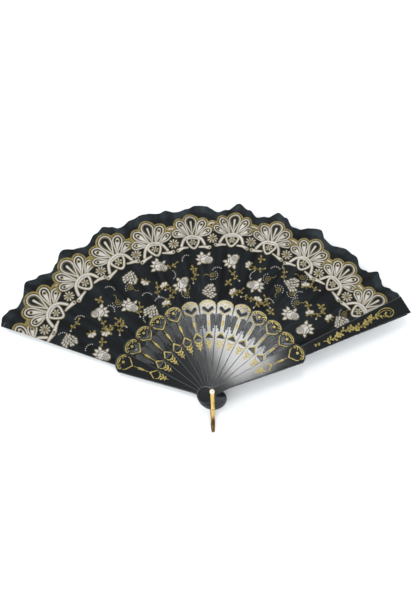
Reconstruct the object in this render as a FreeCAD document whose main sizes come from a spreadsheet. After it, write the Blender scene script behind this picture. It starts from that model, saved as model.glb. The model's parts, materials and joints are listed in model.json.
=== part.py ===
"""Folding hand fan: thirteen plastic sticks on one rivet, a pleated cloth leaf and a brass bail.

The fan lies open and flat. The rivet's axis is Z through the origin, z = 0 is the flat face of the
rivet's tail head, +Z is the printed front and +Y runs along the middle rib. The sticks are stacked
from the back guard (left, lowest) over eleven ribs to the front guard (right, highest).
"""
import FreeCAD
import Part
import Sketcher
import math
import operator
import os

RIB_COUNT = 11
STICK_COUNT = RIB_COUNT + 2
FRET_COLUMNS = 3
FRET_ROWS = (9, 8, 6)

# Every driving size, in millimetres (angles in degrees): alias, value, what it is.
SIZE_TABLE = [
    ("pitch_angle", 11.1, "angle from one open stick to the next"),
    ("guard_reach", 215.0, "pivot to the tip of a guard"),
    ("leaf_setback", 6.0, "tip of a guard back to the cloth's rim on a stick"),
    ("scallop_depth", 6.0, "cloth's rim on a stick back to its rim between two sticks"),
    ("slip_setback", 3.0, "cloth's rim between two sticks back to the ends of the slips"),
    ("cloth_thickness", 0.15, "cloth of the leaf"),
    ("fold_gap", 0.125, "air on each side of a fold when the fan is closed"),
    ("rib_thickness", 0.92, "grip of a rib"),
    ("rib_gap", 0.08, "air between the grips of two neighbours"),
    ("eye_gap", 0.05, "air on each side of an eye of the bail"),
    ("pin_diameter", 2.4, "shank of the rivet"),
    ("pin_clearance", 0.1, "how much wider than the shank a pivot hole is"),
    ("tail_diameter", 5.2, "tail head of the rivet"),
    ("tail_height", 0.9, "tail head of the rivet"),
    ("dome_diameter", 4.4, "domed head of the rivet"),
    ("dome_height", 1.6, "domed head of the rivet"),
    ("butt_diameter", 16.8, "round lobe behind the pivot"),
    ("butt_offset", 6.6, "pivot back to the middle of the lobe"),
    ("neck_width", 7.0, "stick beside the pivot"),
    ("neck_reach", 18.0, "pivot to where the neck starts to widen"),
    ("head_reach", 98.5, "pivot to the top of a grip's head"),
    ("rib_head_rise", 5.0, "shoulders of a rib's head up to its top"),
    ("rib_head_gap", 0.1, "space between two heads at their shoulders"),
    ("guard_head_rise", 6.5, "shoulders of a guard's head up to its top"),
    ("guard_head_width", 21.5, "head of a guard's grip"),
    ("leaf_gap", 1.0, "top of a head to the inner edge of the cloth"),
    ("root_depth", 10.5, "top of a head back to where a slip or blade starts inside the grip"),
    ("slip_root_inset", 0.5, "edge of a rib's head in to the edge of the slip's root"),
    ("slip_shoulder_rise", 2.0, "top of a head to the widest place of the slip"),
    ("slip_overlap", 0.16, "how much wider than the pitch the slip is at its widest place"),
    ("slip_waist_rise", 13.5, "top of a head to where the slip has become narrow"),
    ("slip_waist_width", 5.0, "slip where it has become narrow"),
    ("slip_tip_width", 3.0, "end of the slip"),
    ("rib_edge_bevel", 0.25, "bevel round the front of a rib's grip"),
    ("guard_bevel_land", 0.05, "upright edge left between a grip's bevel and the blade's outer face"),
    ("blade_edge_bevel", 0.35, "bevel round the outer face of a guard's blade"),
    ("guard_thickness", 2.3, "grip of a guard"),
    ("grip_step", 0.33, "outer face of a guard's blade up to that of its grip"),
    ("blade_root_width", 10.0, "blade where it leaves the grip"),
    ("blade_tip_width", 19.5, "blade at the tip"),
    ("chevron_drop", 14.5, "top of a head back to the point of the chevron cut-out"),
    ("chevron_half_width", 5.2, "middle of the chevron to the end of an arm"),
    ("chevron_rise", 3.9, "point of the chevron up to the end of an arm"),
    ("chevron_depth", 2.4, "arm of the chevron, measured along the stick"),
    ("chevron_end_share", 0.6, "share of the arm's depth left upright at its end"),
    ("chevron_cut_share", 0.5, "share of the arm's depth that its end is cut back by"),
    ("gusset_reach", 57.2, "pivot to the base of the triangular cut-out"),
    ("gusset_rise", 3.9, "height of the triangular cut-out"),
    ("gusset_width", 7.4, "base of the triangular cut-out"),
    ("fret_margin_low", 3.1, "point of the triangular cut-out to the fretwork"),
    ("fret_margin_high", 2.15, "fretwork to the point of the chevron"),
    ("fret_bar_width", 4.0, "plain bar down the middle of the fretwork"),
    ("fret_rim", 2.35, "outer column of the fretwork to the widest place of the rib, sideways"),
    ("fret_column_web", 0.6, "plastic between two columns of the fretwork"),
    ("fret_row_web", 0.8, "plastic between two rows of the fretwork"),
    ("bail_thickness", 0.8, "strip of the bail"),
    ("bail_eye_diameter", 5.0, "eye of the bail round the rivet"),
    ("bail_root_width", 3.4, "strip beside the eye"),
    ("bail_end_width", 2.6, "strip at the far end of the loop"),
    ("bail_reach", 36.0, "pivot to the far end of the loop"),
    ("bail_blank_margin", 2.0, "how much wider than the eye the strip is before it is trimmed"),
]


class Size:
    """A size that knows its value and the formula of spreadsheet cells that gives it."""

    def __init__(self, value, formula):
        self.value = value
        self.formula = formula

    def __add__(self, other):
        return combine(self, "+", other)

    def __sub__(self, other):
        return combine(self, "-", other)

    def __mul__(self, other):
        return combine(self, "*", other)

    def __truediv__(self, other):
        return combine(self, "/", other)

    def __neg__(self):
        return Size(-self.value, f"(-1 * {self.formula})")


OPERATORS = {"+": operator.add, "-": operator.sub, "*": operator.mul, "/": operator.truediv}


def combine(left, sign, right):
    """Join two sizes, or a size and a number, with one of the four signs."""
    if not isinstance(right, Size):
        right = Size(float(right), repr(float(right)))
    value = OPERATORS[sign](left.value, right.value)
    return Size(value, f"({left.formula} {sign} {right.formula})")


def square_root(size):
    return Size(math.sqrt(size.value), f"sqrt({size.formula})")


def sine(degrees):
    return Size(math.sin(math.radians(degrees.value)), f"sin({degrees.formula} * 1 deg)")


def cosine(degrees):
    return Size(math.cos(math.radians(degrees.value)), f"cos({degrees.formula} * 1 deg)")


doc = FreeCAD.newDocument("hand_fan")
sheet = doc.addObject("Spreadsheet::Sheet", "Sizes")
SIZES = {}
for row, (alias, number, meaning) in enumerate(SIZE_TABLE, start=1):
    sheet.set(f"A{row}", meaning)
    sheet.set(f"B{row}", str(number))
    sheet.setAlias(f"B{row}", alias)
    SIZES[alias] = Size(number, f"Sizes.{alias}")
doc.recompute()

ZERO = Size(0.0, "0")
HOLE_DIAMETER = SIZES["pin_diameter"] + SIZES["pin_clearance"]

# Thicknesses that the closed stack sets: two layers of cloth lie between two neighbours.
FOLDED_CLOTH = SIZES["cloth_thickness"] * 2 + SIZES["fold_gap"] * 2
STICK_SPACING = SIZES["rib_thickness"] + SIZES["rib_gap"]
SLIP_THICKNESS = STICK_SPACING - FOLDED_CLOTH
BLADE_RECESS = FOLDED_CLOTH - SIZES["rib_gap"]
BLADE_THICKNESS = SIZES["guard_thickness"] - BLADE_RECESS - SIZES["grip_step"]
GRIP_BEVEL = SIZES["grip_step"] - SIZES["guard_bevel_land"]

# Heights in the stack, from the tail head up.
BACK_EYE_LEVEL = SIZES["tail_height"] + SIZES["eye_gap"]
BACK_GUARD_LEVEL = BACK_EYE_LEVEL + SIZES["bail_thickness"] + SIZES["eye_gap"]
FIRST_RIB_LEVEL = BACK_GUARD_LEVEL + SIZES["guard_thickness"] + SIZES["rib_gap"]
FRONT_GUARD_LEVEL = FIRST_RIB_LEVEL + STICK_SPACING * RIB_COUNT
FRONT_EYE_LEVEL = FRONT_GUARD_LEVEL + SIZES["guard_thickness"] + SIZES["eye_gap"]
DOME_LEVEL = FRONT_EYE_LEVEL + SIZES["bail_thickness"] + SIZES["eye_gap"]

# Distances from the pivot.
LEAF_INNER_REACH = SIZES["head_reach"] + SIZES["leaf_gap"]
LEAF_PEAK_REACH = SIZES["guard_reach"] - SIZES["leaf_setback"]
LEAF_VALLEY_REACH = LEAF_PEAK_REACH - SIZES["scallop_depth"]
ROOT_REACH = SIZES["head_reach"] - SIZES["root_depth"]
RIB_SHOULDER_REACH = SIZES["head_reach"] - SIZES["rib_head_rise"]
GUARD_SHOULDER_REACH = SIZES["head_reach"] - SIZES["guard_head_rise"]
SLIP_SHOULDER_REACH = SIZES["head_reach"] + SIZES["slip_shoulder_rise"]
CHEVRON_REACH = SIZES["head_reach"] - SIZES["chevron_drop"]
FRET_REACH = SIZES["gusset_reach"] + SIZES["gusset_rise"] + SIZES["fret_margin_low"]

# Widths that tile from stick to stick, and the holes that fill the fretwork's panel.
PITCH_WIDTH = sine(SIZES["pitch_angle"] / 2) * 2
RIB_HEAD_WIDTH = PITCH_WIDTH * RIB_SHOULDER_REACH - SIZES["rib_head_gap"]
SLIP_SHOULDER_WIDTH = PITCH_WIDTH * SLIP_SHOULDER_REACH + SIZES["slip_overlap"]
FRET_WIDTH = (RIB_HEAD_WIDTH - SIZES["fret_bar_width"]) / 2 - SIZES["fret_rim"]
FRET_LENGTH = CHEVRON_REACH - SIZES["fret_margin_high"] - FRET_REACH
FRET_HOLE_WIDTH = (FRET_WIDTH - SIZES["fret_column_web"] * (FRET_COLUMNS - 1)) / FRET_COLUMNS
FRET_HOLE_RISE = (FRET_LENGTH - SIZES["fret_row_web"] * (FRET_ROWS[0] - 1)) / FRET_ROWS[0]
FRET_COLUMN_SPACING = FRET_HOLE_WIDTH + SIZES["fret_column_web"]
FRET_ROW_SPACING = FRET_HOLE_RISE + SIZES["fret_row_web"]


def stick_angle(stick):
    """Angle of stick 0 (back guard) to 12 (front guard) from the middle rib, in degrees."""
    return SIZES["pitch_angle"] * ((STICK_COUNT - 1) / 2 - stick)


def rib_level(stick):
    """Height of the underside of rib 1 to 11."""
    return FIRST_RIB_LEVEL + STICK_SPACING * (stick - 1)


def panel_level(stick):
    """Height of the underside of the cloth glued to a stick."""
    if stick == 0:
        return BACK_GUARD_LEVEL + SIZES["guard_thickness"] - BLADE_RECESS
    if stick == STICK_COUNT - 1:
        return FRONT_GUARD_LEVEL + BLADE_RECESS - SIZES["cloth_thickness"]
    return rib_level(stick) + SLIP_THICKNESS


def add_body(name):
    body = doc.addObject("PartDesign::Body", name)
    body.Label = name
    return body


def add_sketch(body, name, plane, level=ZERO):
    """A sketch on one of the body's own origin planes, lifted off it by a level."""
    sketch = body.newObject("Sketcher::SketchObject", f"{body.Name}_{name}")
    support = [item for item in body.Origin.OriginFeatures if item.Role == plane]
    sketch.AttachmentSupport = (support[0], "")
    sketch.MapMode = "FlatFace"
    sketch.AttachmentOffset = FreeCAD.Placement(FreeCAD.Vector(0, 0, level.value), FreeCAD.Rotation())
    if level is not ZERO:
        sketch.setExpression("AttachmentOffset.Base.z", level.formula)
    return sketch


def bind(sketch, constraint, size):
    """Add a constraint whose value follows a size."""
    index = sketch.addConstraint(constraint)
    name = f"size_{index}"
    sketch.renameConstraint(index, name)
    sketch.setExpression(f"Constraints.{name}", size.formula)


def bind_point(sketch, geometry, end, point):
    """Hold one end of a line or arc at (x, y) from the sketch's origin."""
    bind(sketch, Sketcher.Constraint("DistanceX", -1, 1, geometry, end, point[0].value), point[0])
    bind(sketch, Sketcher.Constraint("DistanceY", -1, 1, geometry, end, point[1].value), point[1])


def round_edge(start, end, centre, clockwise):
    """Arc round a centre from start to end."""
    circle = Part.Circle(centre, FreeCAD.Vector(0, 0, 1), centre.distanceToPoint(start))
    first = math.atan2(start.y - centre.y, start.x - centre.x)
    last = math.atan2(end.y - centre.y, end.x - centre.x)
    if clockwise:
        first, last = last, first
    return Part.ArcOfCircle(circle, first, last)


def draw_loop(sketch, points, arcs=None):
    """Closed loop through points; arcs gives (centre, clockwise) for the edges that are round.

    An arc's ends and one coordinate of its centre fix it: the one across its chord.
    """
    arcs = arcs or {}
    vectors = [FreeCAD.Vector(x.value, y.value, 0) for x, y in points]
    ends = []
    for number, start in enumerate(vectors):
        end = vectors[(number + 1) % len(vectors)]
        if number not in arcs:
            geometry = sketch.addGeometry(Part.LineSegment(start, end), False)
            ends.append((geometry, 1, 2))
            continue
        centre, clockwise = arcs[number]
        middle = FreeCAD.Vector(centre[0].value, centre[1].value, 0)
        geometry = sketch.addGeometry(round_edge(start, end, middle, clockwise), False)
        if abs(end.x - start.x) > abs(end.y - start.y):
            bind(sketch, Sketcher.Constraint("DistanceY", -1, 1, geometry, 3, middle.y), centre[1])
        else:
            bind(sketch, Sketcher.Constraint("DistanceX", -1, 1, geometry, 3, middle.x), centre[0])
        ends.append((geometry, 2, 1) if clockwise else (geometry, 1, 2))
    for number, (geometry, first, last) in enumerate(ends):
        following, following_first, _ = ends[(number + 1) % len(ends)]
        sketch.addConstraint(Sketcher.Constraint("Coincident", geometry, last, following, following_first))
        bind_point(sketch, geometry, first, points[number])


def draw_circle(sketch, diameter):
    """A circle round the sketch's origin."""
    circle = Part.Circle(FreeCAD.Vector(0, 0, 0), FreeCAD.Vector(0, 0, 1), diameter.value / 2)
    geometry = sketch.addGeometry(circle, False)
    sketch.addConstraint(Sketcher.Constraint("Coincident", geometry, 3, -1, 1))
    bind(sketch, Sketcher.Constraint("Diameter", geometry, diameter.value), diameter)


def mirrored(right_side):
    """Points up the right side, then the same points down the left side."""
    return right_side + [(-x, y) for x, y in reversed(right_side)]


def pad(body, name, sketch, length):
    feature = body.newObject("PartDesign::Pad", f"{body.Name}_{name}")
    feature.Profile = sketch
    feature.Length = length.value
    feature.setExpression("Length", length.formula)
    return feature


def pocket_through(body, name, sketch):
    """Cut the sketch right through the body, to both sides of its plane."""
    feature = body.newObject("PartDesign::Pocket", f"{body.Name}_{name}")
    feature.Profile = sketch
    feature.Type = "ThroughAll"
    feature.Midplane = True
    return feature


def bevel_face(body, name, feature, level, size):
    """Bevel every edge round the flat face of a feature that lies at a level."""
    doc.recompute()
    faces = feature.Shape.Faces
    flat = [number for number, face in enumerate(faces, start=1)
            if face.BoundBox.ZLength < 1e-6 and abs(face.BoundBox.ZMin - level.value) < 1e-6]
    bevel = body.newObject("PartDesign::Chamfer", f"{body.Name}_{name}")
    bevel.Base = (feature, [f"Face{flat[0]}"])
    bevel.Size = size.value
    bevel.setExpression("Size", size.formula)
    return bevel


def draw_grip(sketch, head_width, shoulder_reach):
    """Grip outline: round butt, straight neck, widening flanks and an arched head."""
    butt_radius = SIZES["butt_diameter"] / 2
    neck = SIZES["neck_width"] / 2
    head = head_width / 2
    rise = SIZES["head_reach"] - shoulder_reach
    neck_foot = square_root(butt_radius * butt_radius - neck * neck) - SIZES["butt_offset"]
    head_radius = (head * head + rise * rise) / (rise * 2)
    points = mirrored([(neck, neck_foot), (neck, SIZES["neck_reach"]), (head, shoulder_reach)])
    head_middle = (ZERO, SIZES["head_reach"] - head_radius)
    butt_middle = (ZERO, -SIZES["butt_offset"])
    draw_loop(sketch, points, {2: (head_middle, False), 5: (butt_middle, False)})


def cut_pivot_hole(body):
    sketch = add_sketch(body, "pivot", "XY_Plane")
    draw_circle(sketch, HOLE_DIAMETER)
    pocket_through(body, "pivot_hole", sketch)


def cut_chevron(body):
    """V-shaped opening in the head, pointing at the pivot."""
    half = SIZES["chevron_half_width"]
    foot = CHEVRON_REACH
    arm = foot + SIZES["chevron_rise"]
    depth = SIZES["chevron_depth"]
    end = arm + depth * SIZES["chevron_end_share"]
    top = half - depth * SIZES["chevron_cut_share"]
    sketch = add_sketch(body, "chevron", "XY_Plane")
    draw_loop(sketch, [(ZERO, foot), (half, arm), (half, end), (top, arm + depth),
                       (ZERO, foot + depth), (-top, arm + depth), (-half, end), (-half, arm)])
    pocket_through(body, "chevron_hole", sketch)


def cut_gusset(body):
    """Triangular opening below the fretwork."""
    half = SIZES["gusset_width"] / 2
    foot = SIZES["gusset_reach"]
    sketch = add_sketch(body, "gusset", "XY_Plane")
    draw_loop(sketch, [(half, foot), (ZERO, foot + SIZES["gusset_rise"]), (-half, foot)])
    pocket_through(body, "gusset_hole", sketch)


def cut_fretwork(body):
    """Columns of small triangular holes each side of the middle bar, fewer in the outer columns."""
    half = FRET_HOLE_WIDTH / 2
    for column in range(FRET_COLUMNS):
        rows = FRET_ROWS[column]
        middle = SIZES["fret_bar_width"] / 2 + half + FRET_COLUMN_SPACING * column
        skipped = FRET_ROWS[0] - rows + (column % 2) * 0.5
        foot = FRET_REACH + FRET_ROW_SPACING * skipped
        sketch = add_sketch(body, f"fret_{column}", "XY_Plane")
        draw_loop(sketch, [(middle + half, foot), (middle, foot + FRET_HOLE_RISE),
                           (middle - half, foot)])
        hole = pocket_through(body, f"fret_hole_{column}", sketch)
        length = FRET_ROW_SPACING * (rows - 1)
        pattern = body.newObject("PartDesign::MultiTransform", f"{body.Name}_fret_pattern_{column}")
        pattern.Originals = [hole]
        rows_step = body.newObject("PartDesign::LinearPattern", f"{body.Name}_fret_rows_{column}")
        rows_step.Direction = (sketch, ["V_Axis"])
        rows_step.Length = length.value
        rows_step.setExpression("Length", length.formula)
        rows_step.Occurrences = rows
        sides_step = body.newObject("PartDesign::Mirrored", f"{body.Name}_fret_sides_{column}")
        sides_step.MirrorPlane = (sketch, ["V_Axis"])
        pattern.Transformations = [rows_step, sides_step]
        body.Tip = pattern
        doc.recompute()


def make_rib_master():
    """The rib that all eleven copy: pierced grip with a thin slip behind the cloth."""
    body = add_body("rib_master")
    grip = add_sketch(body, "grip", "XY_Plane")
    draw_grip(grip, RIB_HEAD_WIDTH, RIB_SHOULDER_REACH)
    grip_pad = pad(body, "grip_pad", grip, SIZES["rib_thickness"])
    bevel_face(body, "grip_bevel", grip_pad, SIZES["rib_thickness"], SIZES["rib_edge_bevel"])
    slip = add_sketch(body, "slip", "XY_Plane")
    draw_loop(slip, mirrored([
        (RIB_HEAD_WIDTH / 2 - SIZES["slip_root_inset"], ROOT_REACH),
        (SLIP_SHOULDER_WIDTH / 2, SLIP_SHOULDER_REACH),
        (SIZES["slip_waist_width"] / 2, SIZES["head_reach"] + SIZES["slip_waist_rise"]),
        (SIZES["slip_tip_width"] / 2, LEAF_VALLEY_REACH - SIZES["slip_setback"])]))
    pad(body, "slip_pad", slip, SLIP_THICKNESS)
    cut_pivot_hole(body)
    cut_chevron(body)
    cut_gusset(body)
    cut_fretwork(body)
    return body


def make_guard(name, outer_up):
    """Guard: a blade that widens to a square tip, and a solid grip raised above it on both faces."""
    body = add_body(name)
    thickness = SIZES["guard_thickness"]
    blade_level = BLADE_RECESS if outer_up else SIZES["grip_step"]
    blade_outer = blade_level + BLADE_THICKNESS if outer_up else blade_level
    blade = add_sketch(body, "blade", "XY_Plane", blade_level)
    draw_loop(blade, mirrored([
        (SIZES["blade_root_width"] / 2, ROOT_REACH),
        (SIZES["blade_tip_width"] / 2, SIZES["guard_reach"])]))
    blade_pad = pad(body, "blade_pad", blade, BLADE_THICKNESS)
    bevel_face(body, "blade_bevel", blade_pad, blade_outer, SIZES["blade_edge_bevel"])
    grip = add_sketch(body, "grip", "XY_Plane")
    draw_grip(grip, SIZES["guard_head_width"], GUARD_SHOULDER_REACH)
    grip_pad = pad(body, "grip_pad", grip, thickness)
    bevel_face(body, "grip_bevel", grip_pad, thickness if outer_up else ZERO, GRIP_BEVEL)
    cut_pivot_hole(body)
    return body


def make_strip_master(name, outer_reach):
    """One strip of cloth a quarter of a pitch to each side of its middle line."""
    body = add_body(name)
    angle = SIZES["pitch_angle"] / 4
    points = mirrored([(reach * sine(angle), reach * cosine(angle))
                       for reach in (LEAF_INNER_REACH, outer_reach)])
    sketch = add_sketch(body, "strip", "XY_Plane")
    draw_loop(sketch, points, {1: ((ZERO, ZERO), False), 3: ((ZERO, ZERO), True)})
    pad(body, "strip_pad", sketch, SIZES["cloth_thickness"])
    return body


def place(body, angle, level):
    """Turn a stick or strip about the rivet and lift it to its level, both by formula."""
    body.setExpression("Placement", f"placement(vector(0; 0; {level.formula}); "
                                    f"rotation(vector(0; 0; 1); {angle.formula}))")


def copy_body(name, master, angle, level):
    """A body that repeats a master's shape at its own angle and level."""
    body = add_body(name)
    base = doc.addObject("PartDesign::FeatureBase", f"{name}_base")
    base.BaseFeature = master
    body.Group = [base]
    body.Tip = base
    place(body, angle, level)
    return body


def make_rivet():
    """Turned rivet: flat tail head, shank through the stack and a domed front head."""
    body = add_body("rivet")
    shank = SIZES["pin_diameter"] / 2
    tail = SIZES["tail_diameter"] / 2
    dome = SIZES["dome_diameter"] / 2
    rise = SIZES["dome_height"]
    dome_radius = (dome * dome + rise * rise) / (rise * 2)
    profile = add_sketch(body, "profile", "XZ_Plane")
    draw_loop(profile, [(ZERO, ZERO), (tail, ZERO), (tail, SIZES["tail_height"]),
                        (shank, SIZES["tail_height"]), (shank, DOME_LEVEL), (dome, DOME_LEVEL),
                        (ZERO, DOME_LEVEL + rise)],
              {5: ((ZERO, DOME_LEVEL + rise - dome_radius), False)})
    turned = body.newObject("PartDesign::Revolution", "rivet_turned")
    turned.Profile = profile
    turned.ReferenceAxis = (profile, ["V_Axis"])
    turned.Angle = 360
    return body


def make_bail():
    """Brass strip bent into a long loop from the tail head round the butts to the domed head."""
    body = add_body("bail")
    strip = SIZES["bail_thickness"]
    outer_radius = (FRONT_EYE_LEVEL + strip - BACK_EYE_LEVEL) / 2
    eye = SIZES["bail_eye_diameter"] / 2
    bend = outer_radius - SIZES["bail_reach"]
    bend_middle = (bend, BACK_EYE_LEVEL + outer_radius)
    side = add_sketch(body, "side", "YZ_Plane")
    draw_loop(side, [(bend, FRONT_EYE_LEVEL + strip), (bend, BACK_EYE_LEVEL), (eye, BACK_EYE_LEVEL),
                     (eye, BACK_EYE_LEVEL + strip), (bend, BACK_EYE_LEVEL + strip),
                     (bend, FRONT_EYE_LEVEL), (eye, FRONT_EYE_LEVEL), (eye, FRONT_EYE_LEVEL + strip)],
              {0: (bend_middle, False), 4: (bend_middle, True)})
    slab = pad(body, "slab", side, SIZES["bail_eye_diameter"] + SIZES["bail_blank_margin"])
    slab.Midplane = True
    root = SIZES["bail_root_width"] / 2
    end = SIZES["bail_end_width"] / 2
    neck = -square_root(eye * eye - root * root)
    margin = SIZES["bail_eye_diameter"]
    far = -(SIZES["bail_reach"] + margin)
    plan = add_sketch(body, "plan", "XY_Plane")
    draw_loop(plan, [(margin, far), (margin, margin), (-margin, margin), (-margin, far), (-end, far),
                     (-root, neck), (root, neck), (end, far)], {5: ((ZERO, ZERO), True)})
    pocket_through(body, "plan_cut", plan)
    cut_pivot_hole(body)
    return body


def check_document():
    """Stop if any object of the document failed."""
    doc.recompute()
    for item in doc.Objects:
        if "Invalid" in item.State or "Error" in item.State:
            raise RuntimeError(f"{item.Label} failed: {item.State}")


def export(body):
    """Write one sub-part, after a test of its shape."""
    shape = body.Shape
    if shape.isNull() or not shape.isValid() or len(shape.Solids) != 1:
        raise RuntimeError(f"{body.Label} is not one valid solid")
    shape.exportStep(os.path.join("parts", f"{body.Label}.step"))
    box = shape.BoundBox
    print(f"{body.Label}: {shape.Volume:.1f} mm3, z {box.ZMin:.2f} to {box.ZMax:.2f}")


parts = [make_rivet(), make_bail()]

back_guard = make_guard("back_guard", outer_up=False)
place(back_guard, stick_angle(0), BACK_GUARD_LEVEL)
parts.append(back_guard)
front_guard = make_guard("front_guard", outer_up=True)
place(front_guard, stick_angle(STICK_COUNT - 1), FRONT_GUARD_LEVEL)
parts.append(front_guard)

rib_master = make_rib_master()
for rib in range(1, RIB_COUNT + 1):
    parts.append(copy_body(f"rib_{rib:02d}", rib_master, stick_angle(rib), rib_level(rib)))

panel_master = make_strip_master("panel_master", LEAF_PEAK_REACH)
for stick in range(STICK_COUNT):
    parts.append(copy_body(f"leaf_panel_{stick:02d}", panel_master, stick_angle(stick),
                           panel_level(stick)))

fold_master = make_strip_master("fold_master", LEAF_VALLEY_REACH)
for fold in range(1, STICK_COUNT):
    level = panel_level(fold - 1) + SIZES["cloth_thickness"] + SIZES["fold_gap"]
    parts.append(copy_body(f"leaf_fold_{fold:02d}", fold_master, stick_angle(fold - 0.5), level))

check_document()
os.makedirs("parts", exist_ok=True)
for part in parts:
    export(part)
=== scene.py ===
"""Folding hand fan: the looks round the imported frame.

Makes the pleated black cloth leaf with its printed border of shells and field of flowers, the
gold foil stamped on the sticks, the rope moulding on the bail, and the finish of every piece.
The rivet's axis is Z through the origin and +Y runs along the middle rib. Arrays hold
millimetres, and meshes and settings hold metres.
"""

import json
import math

import bpy
import numpy as np
from bpy.props import FloatProperty, FloatVectorProperty, IntProperty, PointerProperty
from mathutils import Matrix, Vector

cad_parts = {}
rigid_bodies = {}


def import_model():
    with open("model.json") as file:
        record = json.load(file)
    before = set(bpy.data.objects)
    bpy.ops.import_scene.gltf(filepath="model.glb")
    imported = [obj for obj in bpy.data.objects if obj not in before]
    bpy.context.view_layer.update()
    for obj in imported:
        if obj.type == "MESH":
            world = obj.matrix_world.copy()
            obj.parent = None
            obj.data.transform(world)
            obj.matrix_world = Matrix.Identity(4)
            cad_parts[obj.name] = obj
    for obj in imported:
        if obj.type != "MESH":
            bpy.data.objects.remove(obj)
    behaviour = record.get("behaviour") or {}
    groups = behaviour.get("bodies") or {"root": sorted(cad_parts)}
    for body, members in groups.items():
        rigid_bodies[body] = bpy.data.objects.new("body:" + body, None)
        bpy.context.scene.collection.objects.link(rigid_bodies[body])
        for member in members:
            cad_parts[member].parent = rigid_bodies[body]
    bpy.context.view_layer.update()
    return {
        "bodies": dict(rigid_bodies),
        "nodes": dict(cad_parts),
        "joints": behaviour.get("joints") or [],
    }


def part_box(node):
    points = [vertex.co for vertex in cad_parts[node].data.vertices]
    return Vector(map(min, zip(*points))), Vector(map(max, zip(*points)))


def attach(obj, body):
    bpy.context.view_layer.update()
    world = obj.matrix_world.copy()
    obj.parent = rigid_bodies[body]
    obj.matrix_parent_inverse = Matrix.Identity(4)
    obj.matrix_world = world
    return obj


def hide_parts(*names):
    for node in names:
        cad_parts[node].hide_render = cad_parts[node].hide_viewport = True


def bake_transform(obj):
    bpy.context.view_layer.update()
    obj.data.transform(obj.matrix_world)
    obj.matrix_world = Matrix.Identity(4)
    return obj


bl_info = {
    "name": "Folding Hand Fan",
    "version": (1, 0, 0),
    "blender": (4, 5, 0),
    "location": "View3D > Sidebar > Hand Fan",
    "description": "Cloth leaf, stamped foil and finishes for a folding hand fan",
    "category": "Add Mesh",
}

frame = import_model()

MM = 1000.0
RIBS = sorted(name for name in frame["bodies"] if name.startswith("rib_"))
STICKS = ["back_guard"] + RIBS + ["front_guard"]
LAST = len(STICKS) - 1
PITCH = next(max(map(abs, joint["range_deg"])) for joint in frame["joints"]
             if joint["name"] == "rib_01_hinge")
STICK_ANGLES = [90 + PITCH * (LAST / 2 - stick) for stick in range(LAST + 1)]
PANEL_LEVELS = [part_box(f"leaf_panel_{stick:02d}")[0].z * MM for stick in range(LAST + 1)]
CLOTH = (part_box("leaf_panel_01")[1].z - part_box("leaf_panel_01")[0].z) * MM
SHARP_EDGE = 50


def hex_colour(text):
    """sRGB hex as linear red, green, blue and an alpha of 1."""
    channels = [int(text[i:i + 2], 16) / 255 for i in (1, 3, 5)]
    linear = [c / 12.92 if c <= 0.04045 else ((c + 0.055) / 1.055) ** 2.4 for c in channels]
    return (*linear, 1.0)


# ---------------------------------------------------------------- settings

class FanLeafSettings(bpy.types.PropertyGroup):
    root_reach: FloatProperty(
        name="Root reach", description="Pivot to the inner edge of the cloth",
        default=0.0930, unit="LENGTH")
    pleat_height: FloatProperty(
        name="Pleat height", description="Crease of a pleat above or below the cloth on a stick",
        default=0.0024, unit="LENGTH")
    pleat_step: FloatProperty(
        name="Pleat step", description="How much a pleat may grow from one stick to the next",
        default=0.0006, unit="LENGTH")
    grid_step: FloatProperty(
        name="Grid step", description="Distance between two rows of points across the cloth",
        default=0.0005, unit="LENGTH")
    columns: IntProperty(
        name="Columns", description="Columns of points from one stick to the next", default=80)


class FanPrintSettings(bpy.types.PropertyGroup):
    grain: FloatProperty(
        name="Grain", description="Distance between two points where the print is worked out",
        default=0.00025, unit="LENGTH")
    feather: FloatProperty(
        name="Feather", description="Soft edge of a printed line",
        default=0.0004, unit="LENGTH")


class FanFoilSettings(bpy.types.PropertyGroup):
    height: FloatProperty(
        name="Height", description="Foil above the plastic", default=0.00003, unit="LENGTH")
    cell: FloatProperty(
        name="Cell", description="Size of one face of the foil", default=0.00028, unit="LENGTH")


class FanBailSettings(bpy.types.PropertyGroup):
    rope_height: FloatProperty(
        name="Rope height", description="Rope moulding above the strip",
        default=0.00028, unit="LENGTH")
    rope_lay: FloatProperty(
        name="Rope lay", description="Length of one turn of the rope moulding",
        default=0.0022, unit="LENGTH")


COLOUR = {"size": 4, "subtype": "COLOR"}


class FanColourSettings(bpy.types.PropertyGroup):
    plastic: FloatVectorProperty(
        name="Plastic", description="Moulded sticks", default=hex_colour("#0f1113"), **COLOUR)
    # Painted highlight: a pale colour laid on the rounded edges of the sticks.
    edge_highlight: FloatVectorProperty(
        name="Painted edge highlight", description="Edges of the sticks, painted pale as a highlight",
        default=hex_colour("#4f5559"), **COLOUR)
    cloth: FloatVectorProperty(
        name="Cloth", description="Dyed cloth of the leaf", default=hex_colour("#0f1214"), **COLOUR)
    margin: FloatVectorProperty(
        name="Margin", description="Thin cloth outside the print",
        default=hex_colour("#1d2225"), **COLOUR)
    pearl: FloatVectorProperty(
        name="Pearl ink", description="Pale ink of the print",
        default=hex_colour("#bbb5ae"), **COLOUR)
    gold_ink: FloatVectorProperty(
        name="Gold ink", description="Glitter ink of the print",
        default=hex_colour("#87784a"), **COLOUR)
    foil: FloatVectorProperty(
        name="Foil", description="Foil stamped on the sticks",
        default=hex_colour("#aa9a5a"), **COLOUR)
    brass: FloatVectorProperty(
        name="Brass", description="Strip of the bail", default=hex_colour("#ecd084"), **COLOUR)
    steel: FloatVectorProperty(
        name="Rivet", description="Plated rivet", default=hex_colour("#e6e6e4"), **COLOUR)


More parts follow.
